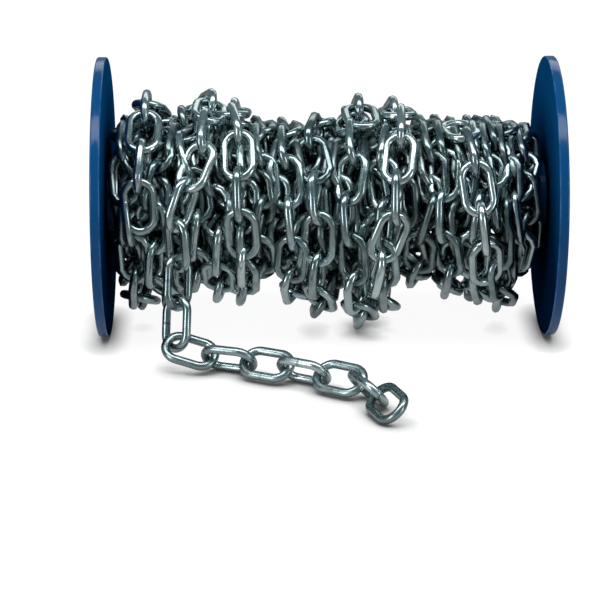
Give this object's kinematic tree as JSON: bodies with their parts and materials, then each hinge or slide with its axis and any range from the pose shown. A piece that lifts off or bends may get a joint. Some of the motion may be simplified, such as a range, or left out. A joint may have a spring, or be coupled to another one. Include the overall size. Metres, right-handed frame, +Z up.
{
  "type": "reel of steel chain",
  "caption": "Blue flanged reel wound with zinc-plated round-link steel chain, standing on its rims, the loose end of the chain lying on the floor in front.",
  "frame": {"origin": "middle of the footprint on the floor, reel and loose end together", "axes": "+X along the reel's axis, from the flange by the loose end's start to the other flange; -Y to the front, where the chain comes off; +Z up"},
  "size_m": [0.325, 0.3092, 0.1996],
  "materials": {
    "flange_blue": "moulded plastic, deep blue, half gloss",
    "zinc": "bright zinc plating on round steel wire"
  },
  "bodies": {
    "root": {"flange_left": "flange_blue", "flange_right": "flange_blue", "core_tube": "flange_blue", "hidden_windings": "zinc", "wound_chain_left": "zinc", "wound_chain_middle": "zinc", "wound_chain_right": "zinc", "tail_link_1": "zinc", "tail_link_2": "zinc", "tail_link_3": "zinc", "tail_link_4": "zinc", "tail_link_5": "zinc", "tail_link_6": "zinc", "tail_link_7": "zinc", "tail_link_8": "zinc", "tail_link_9": "zinc"}
  },
  "joints": []
}
